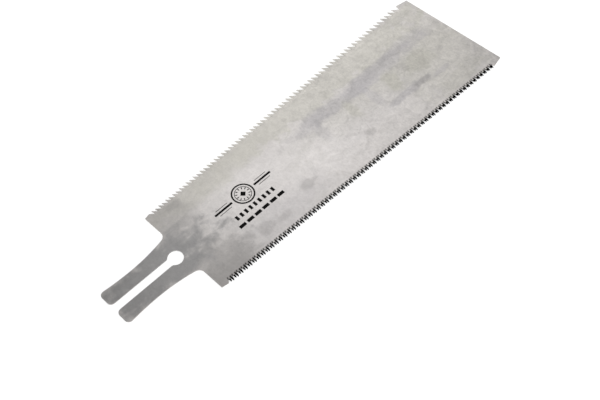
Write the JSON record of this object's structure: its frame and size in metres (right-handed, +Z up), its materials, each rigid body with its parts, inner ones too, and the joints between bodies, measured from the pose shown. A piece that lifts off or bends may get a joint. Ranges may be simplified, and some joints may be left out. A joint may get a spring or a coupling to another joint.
{
  "type": "pull saw blade",
  "caption": "Flat double-edged pull saw blade with a coarse rip edge, a fine crosscut edge and a forked tang with a keyhole for a clamping handle.",
  "frame": {"origin": "centre of the blade's bounding box on the surface it lies on, under the lowest tooth tips", "axes": "+X from the tang to the toe, +Y towards the coarse rip edge, +Z up through the sheet's thickness"},
  "size_m": [0.295, 0.085, 0.001],
  "materials": {
    "blade_steel": "satin ground spring steel, slightly mottled, with darkened crosscut teeth",
    "print_ink": "thin matte black print on the blade face"
  },
  "bodies": {
    "root": {"saw_blade": "blade_steel"}
  },
  "joints": []
}
